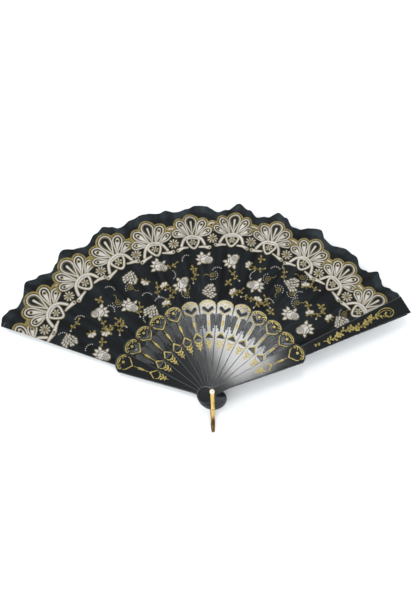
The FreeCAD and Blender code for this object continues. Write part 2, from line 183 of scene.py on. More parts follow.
class FanStageSettings(bpy.types.PropertyGroup):
    target: FloatVectorProperty(
        name="Target", description="Point in the middle of the view", size=3,
        subtype="TRANSLATION", unit="LENGTH", default=(0.000145, 0.089194, 0.009))
    distance: FloatProperty(
        name="Distance", description="Target to the camera", default=0.696324, unit="LENGTH")
    azimuth: FloatProperty(
        name="Azimuth", description="Turn of the camera round the fan", subtype="ANGLE",
        default=math.radians(-7.548))
    elevation: FloatProperty(
        name="Elevation", description="Camera above the floor", subtype="ANGLE",
        default=math.radians(66.142))
    roll: FloatProperty(
        name="Roll", description="Turn of the camera about its own line of sight",
        subtype="ANGLE", default=math.radians(5.713))
    view_angle: FloatProperty(
        name="View angle", description="Angle across the long side of the view",
        subtype="ANGLE", default=math.radians(47.5))
    walls: FloatProperty(
        name="Walls", description="Brightness of the studio low down", default=2.35,
        subtype="FACTOR")
    ceiling: FloatProperty(
        name="Ceiling", description="Brightness of the studio overhead", default=0.32,
        subtype="FACTOR")
    side: FloatProperty(
        name="Side", description="How much brighter the studio is on the left", default=0.45,
        subtype="FACTOR")
    floor: FloatVectorProperty(
        name="Floor", description="Pale floor", default=hex_colour("#ffffff"), **COLOUR)


# ---------------------------------------------------------------- meshes and nodes

def new_piece(name, points, face_sets, material):
    """A mesh from points in millimetres and arrays of faces, at the origin, with smooth faces.

    An edge stays sharp where its two faces turn by more than SHARP_EDGE degrees.
    """
    mesh = bpy.data.meshes.new(name)
    mesh.vertices.add(len(points))
    mesh.vertices.foreach_set("co", (np.asarray(points) / MM).astype(np.float32).ravel())
    sizes = np.concatenate([np.full(len(faces), faces.shape[1]) for faces in face_sets])
    corners = np.concatenate([faces.ravel() for faces in face_sets]).astype(np.int32)
    mesh.loops.add(len(corners))
    mesh.loops.foreach_set("vertex_index", corners)
    mesh.polygons.add(len(sizes))
    mesh.polygons.foreach_set("loop_start", (np.cumsum(sizes) - sizes).astype(np.int32))
    mesh.polygons.foreach_set("use_smooth", np.ones(len(sizes), bool))
    mesh.update(calc_edges=True)
    mesh.validate()
    mesh.set_sharp_from_angle(angle=math.radians(SHARP_EDGE))
    mesh.materials.append(material)
    piece = bpy.data.objects.new(name, mesh)
    bpy.context.scene.collection.objects.link(piece)
    return piece


def grid_faces(rows, columns):
    """Numbers of a grid's points, by row and column, and the quads between them."""
    index = np.arange(rows * columns).reshape(rows, columns)
    return index, np.stack([index[:-1, :-1], index[:-1, 1:], index[1:, 1:], index[1:, :-1]], -1)


def slab_faces(rows, columns):
    """Faces of a closed slab: a grid of rows by columns, the same grid behind it, four walls."""
    index, quads = grid_faces(rows, columns)
    front = quads.reshape(-1, 4)
    behind = rows * columns
    loop = np.concatenate([index[0, :-1], index[:-1, -1], index[-1, :0:-1], index[:0:-1, 0]])
    following = np.roll(loop, -1)
    walls = np.stack([loop, loop + behind, following + behind, following], 1)
    return np.concatenate([front, front[:, ::-1] + behind, walls])


def set_inputs(node, inputs):
    """Sets or links inputs: to a value, a socket, or the first output that a node has in use."""
    for name, value in inputs.items():
        if isinstance(value, bpy.types.Node):
            value = next(socket for socket in value.outputs if socket.enabled)
        if isinstance(value, bpy.types.NodeSocket):
            node.id_data.links.new(value, node.inputs[name])
        else:
            node.inputs[name].default_value = value


def add_node(tree, kind, inputs=None, **settings):
    """Adds a shader node with its settings and its inputs."""
    node = tree.nodes.new("ShaderNode" + kind)
    for name, value in settings.items():
        setattr(node, name, value)
    set_inputs(node, inputs or {})
    return node


def new_material(name):
    """An empty node material with a Principled shader wired to its output."""
    material = bpy.data.materials.new(name)
    material.use_nodes = True
    tree = material.node_tree
    tree.nodes.clear()
    shader = add_node(tree, "BsdfPrincipled")
    add_node(tree, "OutputMaterial", {"Surface": shader})
    return material, tree, shader


def round_rivet(tree, place, across, along):
    """Angle round the rivet and reach from it, stretched by two scales, and the bare reach."""
    flat = add_node(tree, "SeparateXYZ", {"Vector": place})
    angle = add_node(tree, "Math", {0: flat.outputs["Y"], 1: flat.outputs["X"]},
                     operation="ARCTAN2")
    reach = add_node(tree, "VectorMath", {0: place}, operation="LENGTH")
    polar = add_node(tree, "CombineXYZ", {"X": angle, "Y": reach})
    return add_node(tree, "Mapping", {"Vector": polar, "Scale": (across, along, 1.0)}), reach


def give_finish(name, material):
    """Puts a material on a CAD node in place of its plain one."""
    materials = frame["nodes"][name].data.materials
    materials.clear()
    materials.append(material)


# ---------------------------------------------------------------- drawing in the plane

def stroke_field(x, y, points, widths):
    """Half the stroke's width less the distance to its line: above zero inside the stroke."""
    start, step = points[:-1], np.diff(points, axis=0)
    length = np.maximum((step ** 2).sum(1), 1e-9)
    across, along = x[..., None] - start[:, 0], y[..., None] - start[:, 1]
    share = np.clip((across * step[:, 0] + along * step[:, 1]) / length, 0, 1)
    distance = np.hypot(across - share * step[:, 0], along - share * step[:, 1])
    half = (widths[:-1] + np.diff(widths) * share) / 2
    return (half - distance).max(-1)


def area_field(x, y, points):
    """Distance to a closed outline, above zero inside it by the count of edges crossed."""
    closed = np.vstack([points, points[:1]])
    distance = -stroke_field(x, y, closed, np.zeros(len(closed)))
    (ax, ay), (bx, by) = closed[:-1].T, closed[1:].T
    crosses = (ay > y[..., None]) != (by > y[..., None])
    slope = (bx - ax) / np.where(by == ay, 1e-9, by - ay)
    inside = (crosses & (x[..., None] < ax + slope * (y[..., None] - ay))).sum(-1) % 2 == 1
    return np.where(inside, distance, -distance)


def soften(points, rounds=3, closed=False):
    """Rounds the corners of a line: each edge keeps its middle half, over and over."""
    points = np.asarray(points, float)
    for _ in range(rounds):
        ends = np.vstack([points, points[:1]]) if closed else points
        near, far = ends[:-1] * 0.75 + ends[1:] * 0.25, ends[:-1] * 0.25 + ends[1:] * 0.75
        cut = np.stack([near, far], 1).reshape(-1, 2)
        points = cut if closed else np.vstack([points[:1], cut[1:-1], points[-1:]])
    return points


def circle(middle, radius, count=14):
    """Points round a circle."""
    turn = np.linspace(0, 2 * math.pi, count, endpoint=False)
    return np.asarray(middle, float) + radius * np.stack([np.cos(turn), np.sin(turn)], 1)


def spiral(middle, inner, outer, first, turns, count=26):
    """Points out along a spiral whose radius grows evenly with its angle, in degrees."""
    share = np.linspace(0, 1, count)
    turn = np.radians(first) + 2 * math.pi * turns * share
    radius = inner + (outer - inner) * share
    return np.asarray(middle, float) + radius[:, None] * np.stack([np.cos(turn), np.sin(turn)], 1)


def petal(base, angle, length, width, waist=2.2, blunt=0.55):
    """Outline of a petal: half its width is a power of the sine of a power of its length.

    The waist moves the widest place towards the tip, and a low blunt power rounds the tip.
    """
    share = 1 - np.linspace(0.98, 0, 16) ** 1.6
    half = width / 2 * np.sin(math.pi * share ** waist) ** blunt
    side = np.concatenate([np.stack([half, share * length], 1),
                           np.stack([-half, share * length], 1)[-2::-1]])
    turn = math.radians(angle)
    across, along = (math.cos(turn), -math.sin(turn)), (math.sin(turn), math.cos(turn))
    return np.asarray(base, float) + side[:, :1] * across + side[:, 1:] * along


class Motif:
    """Draws in millimetres in its own frame: +u to the right, +v away from the rivet."""

    def __init__(self, draw, reach=0.0, angle=90.0, turn=0.0, scale=1.0):
        self.draw = draw
        out = math.radians(angle)
        own = out - math.pi / 2 + math.radians(turn)
        self.middle = np.array([math.cos(out), math.sin(out)]) * reach
        self.axes = np.array([[math.cos(own), math.sin(own)],
                              [-math.sin(own), math.cos(own)]]) * scale
        self.scale = scale

    def place(self, points):
        """Points of the motif's own frame as points of the fan."""
        return np.asarray(points, float) @ self.axes + self.middle

    def line(self, points, width, ink="foil"):
        """A stroke through points; widths given are spread evenly from the first to the last."""
        points = self.place(points)
        width = np.atleast_1d(np.asarray(width, float)) * self.scale
        widths = np.interp(np.linspace(0, 1, len(points)), np.linspace(0, 1, len(width)), width)
        self.draw.lay(lambda x, y: stroke_field(x, y, points, widths), points,
                      float(widths.max()) / 2, ink)

    def area(self, points, grow, ink="foil", **limits):
        """A filled outline, grown outwards by a distance."""
        points = self.place(points)
        grow = grow * self.scale
        self.draw.lay(lambda x, y: area_field(x, y, points) + grow, points,
                      max(grow, 0), ink, **limits)

    def areas(self, points, **grown):
        """Filled outlines over each other: each ink with the distance it is grown by."""
        for ink, grow in grown.items():
            self.area(points, grow, ink)

    def dots(self, middle, **radii):
        """Round dots over each other: each ink with its radius."""
        point = np.asarray(middle, float)
        for ink, radius in radii.items():
            self.line([point, point + (1e-3, 0)], 2 * radius, ink)


class LeafPrint:
    """Cover of pearl and gold ink on a square grid of points over the open leaf."""

    def __init__(self, low, high, grain, feather):
        self.x = np.arange(low[0], high[0], grain)
        self.y = np.arange(low[1], high[1], grain)
        self.grain, self.feather = grain, feather
        shape = (len(self.y), len(self.x))
        self.cover = {"pearl": np.zeros(shape, np.float32), "gold": np.zeros(shape, np.float32)}

    def lay(self, field, points, margin, ink, beyond=None):
        """Lays ink, or "cloth" for bare cloth, over what is there, only beyond a reach if given."""
        margin += self.feather
        low, high = points.min(0) - margin, points.max(0) + margin
        columns = slice(*np.searchsorted(self.x, [low[0], high[0]]))
        rows = slice(*np.searchsorted(self.y, [low[1], high[1]]))
        x, y = np.meshgrid(self.x[columns], self.y[rows])
        if not x.size:
            return
        new = np.clip(field(x, y) / self.feather + 0.5, 0, 1)
        if beyond is not None:
            new = new * np.clip((np.hypot(x, y) - beyond) / 2 + 0.5, 0, 1)
        for name, old in self.cover.items():
            old[rows, columns] += new * ((name == ink) - old[rows, columns])

    def sample(self, x, y):
        """Pearl and gold cover at points, from the four nearest points of the grid."""
        column = np.clip((x - self.x[0]) / self.grain, 0, len(self.x) - 1.001)
        row = np.clip((y - self.y[0]) / self.grain, 0, len(self.y) - 1.001)
        i, j = row.astype(int), column.astype(int)
        fi, fj = row - i, column - j
        return [old[i, j] * (1 - fi) * (1 - fj) + old[i, j + 1] * (1 - fi) * fj
                + old[i + 1, j] * fi * (1 - fj) + old[i + 1, j + 1] * fi * fj
                for old in self.cover.values()]


class FoilField:
    """One stick's foil as a single field: above zero inside any stroke."""

    def __init__(self, low, high, cell):
        self.x, self.y = np.meshgrid(np.arange(low[0], high[0], cell),
                                     np.arange(low[1], high[1], cell))
        self.cell = cell
        self.field = np.full(self.x.shape, -9.0)

    def lay(self, field, points, margin, ink):
        """Adds a stroke, or takes it away if the ink is "plastic"."""
        low, high = points.min(0) - margin - 1, points.max(0) + margin + 1
        near = ((self.x[0] > low[0]) & (self.x[0] < high[0]),
                (self.y[:, 0] > low[1]) & (self.y[:, 0] < high[1]))
        window = np.ix_(near[1], near[0])
        new = field(self.x[window], self.y[window])
        old = self.field[window]
        self.field[window] = np.minimum(old, -new) if ink == "plastic" else np.maximum(old, new)


# ---------------------------------------------------------------- the print's figures

# Shells as (angle, reach, scale), their petals as (base, heading, length, width), and all other
# figures as (angle, reach, heading), in degrees and millimetres.
SHELL_PLACES = [(162.4, 174.8, 1.1), (149.2, 174.8, 1.1), (135.3, 172.3, 1.1), (121.9, 168.8, 1.1),
                (108.3, 164.8, 1.04), (94.3, 164.8, 1.0), (80.3, 167.8, 1.0), (66.9, 167.8, 1.0),
                (53.5, 166.8, 1.0), (41.0, 167.8, 1.0), (28.0, 168.8, 1.0)]
SHELL_PETALS = [((5.2, 5.4), 63, 16.4, 7.6), ((-5.2, 5.4), -63, 16.4, 7.6),
                ((3.0, 7.2), 32, 20.4, 8.4), ((-3.0, 7.2), -32, 20.4, 8.4),
                ((0.0, 8.2), 0, 22.4, 11.4)]
ROSES = [(157.1, 112.4, -20), (140.7, 139.4, 205), (129.2, 121.0, -24), (109.0, 144.5, -18),
         (90.2, 143.7, -15), (101.9, 119.3, 60), (79.0, 143.8, 50), (66.8, 121.8, 175),
         (43.5, 112.9, -20), (33.6, 111.5, 200)]
CLUSTERS = [(155.9, 149.5, 10), (121.3, 147.5, -20), (122.1, 104.3, -30), (89.4, 107.2, 90),
            (52.8, 140.4, 60), (28.0, 147.3, 20)]
BUDS = [(110.5, 123.0, 30), (117.4, 135.2, 160), (150.1, 132.2, 200), (47.9, 148.5, 0),
        (31.6, 139.6, 40), (72.1, 142.4, 60), (113.3, 104.0, 20), (146.5, 121.0, 190),
        (76.2, 108.5, 45), (62.5, 108.0, -30), (38.2, 128.0, 10)]
LEAF_STARS = [(151.1, 118.6, 10), (136.5, 148.3, 80), (68.0, 152.4, 0), (79.2, 117.8, -30),
              (41.2, 132.4, 20), (37.2, 141.5, 50), (47.6, 159.0, 30), (52.8, 102.8, 60),
              (95.5, 133.5, 20), (144.8, 119.0, 50)]
SPRIGS = [(150.1, 151.1, 40), (143.8, 126.4, 100), (141.8, 118.5, 20), (140.3, 110.7, 60),
          (68.3, 139.4, -20), (57.0, 145.9, 70), (137.9, 115.0, 120), (110.6, 107.3, 40),
          (113.8, 121.2, 80), (107.7, 115.0, -20), (95.3, 124.0, 60), (76.7, 126.8, 110),
          (73.5, 108.0, 20), (67.6, 105.4, -30), (57.1, 110.5, 90), (60.0, 103.5, 10),
          (34.8, 135.2, 30), (45.0, 152.0, 130), (104.6, 141.0, 15), (126.8, 111.8, 75)]
SPIRALS = [(123.9, 137.3, 0), (100.8, 108.3, 90), (87.3, 125.3, 200), (62.2, 134.3, 45),
           (50.1, 133.0, 120), (56.1, 127.3, 270), (45.5, 126.8, 30), (50.9, 153.7, 180),
           (29.7, 155.5, 80), (132.0, 133.5, 140)]
DOT_ARCS = [(146.7, 153.8, 30), (154.7, 158.6, 10), (156.2, 130.1, 60), (135.4, 134.3, -30),
            (130.3, 151.8, 0), (119.9, 123.7, 20), (128.4, 102.0, 100), (98.9, 147.2, 60),
            (62.2, 149.0, 10), (59.3, 156.0, 50), (48.7, 135.2, 40), (57.6, 113.4, -10),
            (86.0, 133.0, 30), (104.0, 133.0, -70), (116.0, 113.0, 30), (70.0, 131.0, 80)]


def figure(draw, place):
    """A motif at (angle, reach, heading): the heading is the way its +u points, over the leaf."""
    angle, reach, heading = place
    return Motif(draw, reach, angle, heading - (angle - 90))


def edged(motif, points, width, edge=0.5):
    """A pearl line with a gold edge."""
    motif.line(points, np.asarray(width) + 2 * edge, "gold")
    motif.line(points, width, "pearl")


def draw_petal(motif, shape, rings):
    """One petal of a shell: pearl outline with a gold edge.

    It holds a pearl tongue with a ring, or in the middle petal a gold line and a stripe.
    """
    base, angle, length, width = shape
    outline = petal(base, angle, length, width)
    motif.areas(outline, gold=0.95, pearl=0.5, cloth=-0.55)
    turn = math.radians(angle)
    way = np.array([math.sin(turn), math.cos(turn)])
    foot, head = np.array(base) + way * length * 0.12, np.array(base) + way * length * 0.72
    if rings:
        tongue = petal(foot, angle, length * 0.76, width * 0.46)
        motif.areas(tongue, gold=0.4, pearl=0.0)
        motif.dots(head, gold=width * 0.19, cloth=width * 0.12)
    else:
        motif.areas(outline, gold=-1.3, cloth=-1.65)
        edged(motif, [foot, head], np.array([0.4, 1.9]), 0.3)


def draw_shell(draw, angle, reach, scale):
    """Shell of the border: five petals over a ribbon arch and a ringed flower."""
    motif = Motif(draw, reach, angle, 0, scale)
    for shape in SHELL_PETALS:
        outline = petal(*shape)
        motif.area(outline, 3.1, "gold", beyond=reach + 11)
        motif.area(outline, 1.7, "cloth")
    for shape in SHELL_PETALS:
        draw_petal(motif, shape, rings=shape[1] != 0)
    ring = soften([(-6.8, 4.8), (6.8, 4.8), (5.8, -1.0), (0, -9.4), (-5.8, -1.0)], 2, closed=True)
    motif.areas(ring, gold=1.3, pearl=0.8)
    motif.areas(ring, gold=-0.75, cloth=-1.15)
    for turn in range(6):
        way = np.array([math.cos(turn * math.pi / 3), math.sin(turn * math.pi / 3)])
        motif.line([way * 1.1, way * 2.8], [1.0, 2.0], "gold")
        motif.line([way * 1.1, way * 2.8], [0.3, 1.1], "pearl")
    motif.dots((0, 0), gold=0.8)
    for side in (-1, 1):
        edged(motif, [(side * 6.0, -6.2), (side * 11.5, -7.2), (side * 16.0, -8.6)],
              np.array([1.2, 2.2, 3.4]), 0.45)
        motif.dots((side * 16.2, -8.7), gold=1.05, cloth=0.65)
    arch = soften([(-12.4, -4.6), (-9.4, 3.0), (-4.2, 7.4), (4.2, 7.4), (9.4, 3.0), (11.6, -4.2)])
    edged(motif, arch, 2.1)


def draw_join(draw, angle, reach):
    """What fills the space between two shells: a small arch, a ring and a daisy."""
    motif = Motif(draw, reach, angle)
    hood = soften([(-5.0, 15.6), (-3.2, 19.2), (3.2, 19.2), (5.0, 15.6)])
    motif.area(hood, 3.0, "gold", beyond=reach + 14)
    motif.area(hood, 1.5, "cloth")
    edged(motif, hood, 1.5, 0.4)
    motif.dots((0, 13.0), gold=1.9, pearl=1.4, cloth=0.6)
    motif.dots((0, 1.0), cloth=5.9)
    for turn in range(9):
        way = np.array([math.cos(turn * math.pi / 4.5), math.sin(turn * math.pi / 4.5)])
        edged(motif, np.array([(0, 1.0), (0, 1.0)]) + np.outer([2.0, 4.6], way),
              np.array([0.4, 1.2]), 0.4)
    motif.dots((0, 1.0), gold=1.2, cloth=0.5)


def draw_rose(motif):
    """Rose on its side: a spiral whorl in front, a cup of wide petals, narrow sepals behind."""
    sepals = [petal((-3.0, v), turn, length, 2.6, waist=1.0, blunt=1.0)
              for v, turn, length in ((3.0, -38, 5.4), (1.2, -74, 6.6), (-0.6, -100, 6.4),
                                      (-3.0, -140, 5.6))]
    sepals += [petal((1.4, 3.4), 18, 4.8, 2.2, waist=1.0, blunt=1.0)]
    cup = soften([(-5.0, -2.2), (-2.2, -4.8), (3.0, -4.6), (3.6, 4.6), (-1.6, 5.0), (-5.0, 2.4)],
                 2, True)
    for outline in sepals:
        motif.areas(outline, gold=0.6, cloth=0.3, pearl=0.05)
    motif.areas(cup, gold=0.7, cloth=0.35, pearl=-0.1)
    motif.line(soften([(-4.6, 0.8), (-1.4, 2.2), (1.2, 5.0)]), 0.6, "cloth")
    motif.line(soften([(-4.0, -2.4), (-0.6, -1.8), (1.0, -4.8)]), 0.5, "gold")
    motif.areas(circle((4.2, -0.4), 3.6), gold=0.5, cloth=0.2, pearl=-0.2)
    motif.line(spiral((4.2, -0.4), 0.2, 2.9, 20, 1.9), 0.62, "cloth")
    motif.line(spiral((4.2, -0.4), 0.6, 2.2, 200, 0.7), 0.4, "gold")


def draw_cluster(motif):
    """Blossom head: rows of small drop-shaped petals, each half over the row below."""
    for row, (count, height) in enumerate(((2, 5.0), (3, 3.1), (4, 1.0), (5, -1.2), (4, -3.4),
                                           (3, -5.4))):
        for item in range(count):
            u = (item - (count - 1) / 2) * 2.9 + 0.5 * math.sin(7 * row + 4 * item)
            foot = np.array([u, height + 1.0 - abs(u) * 0.16 + 0.4 * math.sin(5 * item + row)])
            way = np.array([u * 0.3 + 0.5 * math.sin(3 * row + 5 * item), -1.6])
            motif.line([foot, foot + way], np.array([0.8, 2.3]) + 0.9, "gold")
            motif.line([foot, foot + way], np.array([0.8, 2.3]) + 0.5, "cloth")
            motif.line([foot, foot + way], [0.6, 1.9], "pearl")


def draw_bud(motif):
    """Small open flower with two gold leaves."""
    for side in (-1, 1):
        motif.area(petal((0, -0.5), side * 110, 5.0, 2.0), 0, "gold")
    for turn in (-50, 0, 50):
        motif.areas(petal((0, -1.2), turn, 4.6, 2.6), gold=0.5, pearl=0.05)
    motif.line([(0, -1.0), (0.6, -4.6)], [0.8, 0.4], "gold")


def draw_leaf_star(motif):
    """Three or four gold leaves from one point."""
    for turn, length in ((0, 4.8), (100, 4.0), (205, 4.6), (285, 3.4)):
        motif.area(petal((0, 0), turn, length, 1.8), 0.1, "gold")


def draw_sprig(motif):
    """Curved gold stem with leaves in pairs and a pearl dot at its end."""
    motif.line(soften([(-6.5, -1.5), (-2, 1.6), (2.5, 0.2), (6, 2.6)]), 0.55, "gold")
    for u, v, turn in ((-3.6, 0.4, 20), (-2.6, 0.6, 150), (1.6, 0.7, 35), (2.6, 0.4, 140),
                       (5.6, 2.4, 70)):
        motif.area(petal((u, v), turn, 3.0, 1.5), 0.1, "gold")
    motif.dots((-6.8, -1.6), pearl=0.75)


def draw_spiral(motif):
    """Gold spiral with a broken circle of pearl dots."""
    motif.line(spiral((0, 0), 0.4, 3.4, 0, 1.6), 0.55, "gold")
    motif.line(soften([(3.4, -1.4), (5.2, -3.6), (8.0, -3.0)]), 0.5, "gold")
    for middle in circle((0, 0), 5.4, 14)[2:9]:
        motif.dots(middle, pearl=0.45)


def draw_dots(motif):
    """Short arc of pearl dots."""
    for middle in circle((0, -5.0), 5.6, 17)[1:7]:
        motif.dots(middle, pearl=0.48)


PRINT_CORNERS = ((-226, 10), (226, 226))


def paint_leaf(settings):
    """The whole print: field first, then the border over it."""
    draw = LeafPrint(*PRINT_CORNERS, settings.grain * MM, settings.feather * MM)
    for places, draw_one in ((SPRIGS, draw_sprig), (LEAF_STARS, draw_leaf_star),
                             (SPIRALS, draw_spiral), (DOT_ARCS, draw_dots), (BUDS, draw_bud),
                             (CLUSTERS, draw_cluster), (ROSES, draw_rose)):
        for place in places:
            draw_one(figure(draw, place))
    for (angle, reach, _), (following, following_reach, _) in zip(SHELL_PLACES, SHELL_PLACES[1:]):
        draw_join(draw, (angle + following) / 2, (reach + following_reach) / 2)
    for place in SHELL_PLACES:
        draw_shell(draw, *place)
    return draw


# ---------------------------------------------------------------- the leaf

# Trimmed edge of the cloth, as (angle, reach) of its crests and hollows from left to right.
RIM = np.array([
    (165, 214), (160, 217), (157, 220), (154.8, 218), (153, 211.5), (150, 213), (146, 220),
    (143, 213.5), (139.3, 207), (136.5, 210.5), (133, 216.5), (130, 208), (127, 205),
    (122.5, 210), (120, 212), (118, 209), (116, 205), (112, 206.5), (107, 208), (102, 206.5),
    (98, 201.2), (95, 205), (92.3, 210), (89.5, 206.3), (86, 199), (82.8, 204), (80, 213),
    (76.5, 205), (73.8, 199.5), (71, 203.7), (68, 211.6), (65.5, 207.5), (63, 201.3),
    (60.5, 202.5), (58, 209), (55, 212), (52.5, 204.6), (50, 204), (46.5, 209), (42.5, 208.8),
    (39, 203.5), (37, 206), (35.2, 213.6), (33, 210.8), (31, 207), (29, 212), (27, 215.5),
    (23, 212), (18, 210)])[::-1]
# Reach that a sheet is measured out to, and reach of a plain arc round the same cloth.
RIM_REACH, RIM_MEAN = 209, 207
# Half the width of the slip that the cloth is glued to, as reaches and widths, and its spare.
SLIP_HALF_WIDTH = ((99, 100.5, 112, 200), (9.6, 9.8, 2.5, 1.5))
SLIP_SPARE = 0.3
# Share of the pitch from a stick to its crease, and how sharp the crease is, up to 1.
CREASE = 0.25
CREASE_SHARPNESS = 0.97
# Reaches over which the pleats grow to their full height, and the climb moves outwards.
PLEATS_GROW, CLIMB_MOVES = (104, 122), (101, 116)
# Rise over the first crease, so that the layers behind it have room when the fan is closed.
LAYER_ROOM = 0.275
# Waves of the trimmed edge as (height, waves in a pleat), the share of the cloth's length where
# they start, and how much of them is left beside the stiff guards.
FLUTTER, FLUTTER_START, FLUTTER_AT_GUARDS = ((0.5, 2.2), (0.35, 4.4)), 0.86, 0.25
# The cloth turns thin from the first to the second of these distances inside its trimmed edge.
MARGIN_START, MARGIN_END = 11, 6
# Share of the ink that shows on the back.
PRINT_THROUGH = 0.10


def smooth_step(value, low, high):
    """0 below low, 1 above high and an S-shaped cubic between."""
    share = np.clip((value - low) / (high - low), 0, 1)
    return share * share * (3 - 2 * share)


def rim_reach(angle):
    """Reach of the trimmed edge at an angle: a smooth curve through the crests and hollows."""
    place = np.searchsorted(RIM[:, 0], angle).clip(1, len(RIM) - 1)
    low, high = RIM[place - 1], RIM[place]
    eased = smooth_step(angle, low[..., 0], high[..., 0])
    wave = 0.25 * np.sin(np.radians(angle) * 97) + 0.2 * np.sin(np.radians(angle) * 61 + 1)
    return low[..., 1] + (high[..., 1] - low[..., 1]) * eased + wave


def pleat_height(stick, settings):
    """Height of the creases beside a stick: none at the guards, growing by a step each stick."""
    room = min(stick, LAST - stick) * settings.pleat_step
    return min(settings.pleat_height, room) * MM


def leaf_surface(number, settings):
    """Front of the cloth from one stick to the next, as grids of x, y and z.

    Over the pitch the cloth lies on the stick at a share of 0, rises to a crease at 0.25,
    drops to one at 0.75 and lies on the next stick at 1. Beside a stick it is flat as far as
    the slip reaches, and then tilts evenly to the crease, the same way on every layer, so
    that the layers lie parallel when the fan is closed.
    """
    first = -CREASE if number == 0 else 0.0
    last = 1 + CREASE if number == LAST - 1 else 1.0
    columns = round((last - first) * settings.columns)
    share = np.linspace(first, last, columns + 1)[None, :]
    angle = STICK_ANGLES[number] - PITCH * share
    rim = rim_reach(angle)
    root = settings.root_reach * MM
    rows = round((RIM_REACH + 1 - root) / (settings.grid_step * MM))
    outwards = np.linspace(0, 1, rows + 1)[:, None]
    reach = root + (rim - root) * outwards

    slip = np.interp(reach, *SLIP_HALF_WIDTH) + SLIP_SPARE
    flat = np.clip(slip / (reach * math.radians(PITCH) * CREASE), 0, 0.92)
    side = np.where(share <= CREASE, share, np.where(share < 1 - CREASE, 0.5 - share, share - 1))
    side = side / CREASE
    tilt = np.clip((np.abs(side) - flat) / (1 - flat), 0, 1)
    bend = np.arcsin(CREASE_SHARPNESS * np.sin(tilt * math.pi / 2))
    tilt = np.sign(side) * bend / math.asin(CREASE_SHARPNESS)
    height = np.where(share < 0.5, pleat_height(number, settings),
                      pleat_height(number + 1, settings))
    relief = height * tilt * (reach / RIM_REACH) * smooth_step(reach, *PLEATS_GROW)

    # Near its root the cloth climbs to the next stick just before the middle of the pitch, and
    # further out from the middle to the second crease.
    open_cloth = smooth_step(reach, *CLIMB_MOVES)
    low = PANEL_LEVELS[number]
    rise = PANEL_LEVELS[number + 1] - low
    start = 0.40 + (0.10 + CREASE * np.minimum(flat, 0.6)) * open_cloth
    end = 0.50 + CREASE * open_cloth
    over = LAYER_ROOM * smooth_step(share, CREASE, CREASE + 0.06)
    base = low + over + (rise - over) * smooth_step(share, start, end)

    (sine, sine_waves), (cosine, cosine_waves) = FLUTTER
    flutter = sine * np.sin(side * sine_waves) + cosine * np.cos(side * cosine_waves)
    flutter = smooth_step(outwards, FLUTTER_START, 1.0) * flutter
    guard = FLUTTER_AT_GUARDS if number in (0, LAST - 1) else 1.0
    turn = np.radians(angle)
    return (reach * np.cos(turn), reach * np.sin(turn), base + relief + flutter * guard, reach, rim)


def leaf_material(colours):
    """Polyester satin, dyed black and screen printed.

    Woven of fine flat threads, so it has a low, soft gloss; the pearl ink is chalky with a
    slight lustre, and the gold ink is full of glitter flakes that catch the light one by one.
    Paler and darker streaks that run out from the rivet are painted into the colour as the light
    and shade of the creases. Threads 0.1 mm apart are too fine to show and are drawn 0.7 mm apart.
    """
    material, tree, shader = new_material("printed_polyester_satin")
    ink = add_node(tree, "Attribute", attribute_name="print_ink")
    pearl, gold, margin = add_node(tree, "SeparateColor", {"Color": ink}).outputs
    place = add_node(tree, "UVMap", uv_map="cloth_mm")

    sheer = add_node(tree, "Mix", {"Factor": margin, "A": colours.cloth[:],
                                   "B": colours.margin[:]}, data_type="RGBA")
    mottle = add_node(tree, "TexNoise", {"Vector": place, "Scale": 0.06, "Detail": 4.0})
    deep = add_node(tree, "MapRange", {"Value": mottle, "From Min": 0.3, "From Max": 0.7,
                                       "To Min": 0.72, "To Max": 1.25})
    # Painted light and shade: streaks out from the rivet make the dyed colour paler and darker,
    # like light on the creases.
    streaks, _ = round_rivet(tree, place, 15.0, 0.014)
    fold_shade_noise = add_node(tree, "TexNoise", {"Vector": streaks, "Scale": 1.0, "Detail": 2.0})
    painted_fold_shade = add_node(tree, "MapRange", {"Value": fold_shade_noise, "From Min": 0.35, "From Max": 0.65,
                                          "To Min": 0.35, "To Max": 1.8})
    shade = add_node(tree, "Math", {0: deep, 1: painted_fold_shade}, operation="MULTIPLY")
    dyed_and_fold_shaded = add_node(tree, "VectorMath", {0: sheer, "Scale": shade}, operation="SCALE")

    patch = add_node(tree, "TexNoise", {"Vector": place, "Scale": 0.9, "Detail": 3.0})
    wear_and_edge_highlight = add_node(tree, "MapRange", {"Value": patch, "From Min": 0.3, "From Max": 0.65,
                                       "To Min": 0.78, "To Max": 1.0})
    pearl_tone = add_node(tree, "VectorMath", {0: colours.pearl[:3], "Scale": wear_and_edge_highlight},
                          operation="SCALE")
    flakes = add_node(tree, "TexVoronoi", {"Vector": place, "Scale": 1.6})
    glints = add_node(tree, "MapRange", {"Value": flakes.outputs["Color"], "From Min": 0.1,
                                         "From Max": 0.9, "To Min": 0.45, "To Max": 1.5})
    gold_tone = add_node(tree, "VectorMath", {0: colours.gold_ink[:3], "Scale": glints},
                         operation="SCALE")
    gilded = add_node(tree, "Mix", {"Factor": gold, "A": dyed_and_fold_shaded, "B": gold_tone},
                      data_type="RGBA")
    printed = add_node(tree, "Mix", {"Factor": pearl, "A": gilded, "B": pearl_tone},
                       data_type="RGBA")
    shine = add_node(tree, "Math", {0: gold, 1: 0.55}, operation="MULTIPLY")
    rough = add_node(tree, "MapRange", {"Value": flakes.outputs["Distance"], "To Min": 0.62,
                                        "To Max": 0.82})

    warp, weft = [add_node(tree, "TexWave", {"Vector": place, "Scale": 0.45, "Distortion": 0.4,
                                             "Detail": 1.0}, bands_direction=way).outputs["Fac"]
                  for way in ("X", "Y")]
    weave = add_node(tree, "Math", {0: warp, 1: weft}, operation="MULTIPLY")
    inks = add_node(tree, "Math", {0: pearl, 1: gold}, operation="ADD")
    relief = add_node(tree, "Math", {0: inks, 1: 3.0, 2: weave}, operation="MULTIPLY_ADD")
    bump = add_node(tree, "Bump", {"Strength": 0.5, "Distance": 0.00008, "Height": relief})
    set_inputs(shader, {"Base Color": printed, "Metallic": shine, "Roughness": rough,
                        "Normal": bump, "Specular IOR Level": 0.12, "Sheen Weight": 0.03,
                        "Sheen Roughness": 0.4})
    return material


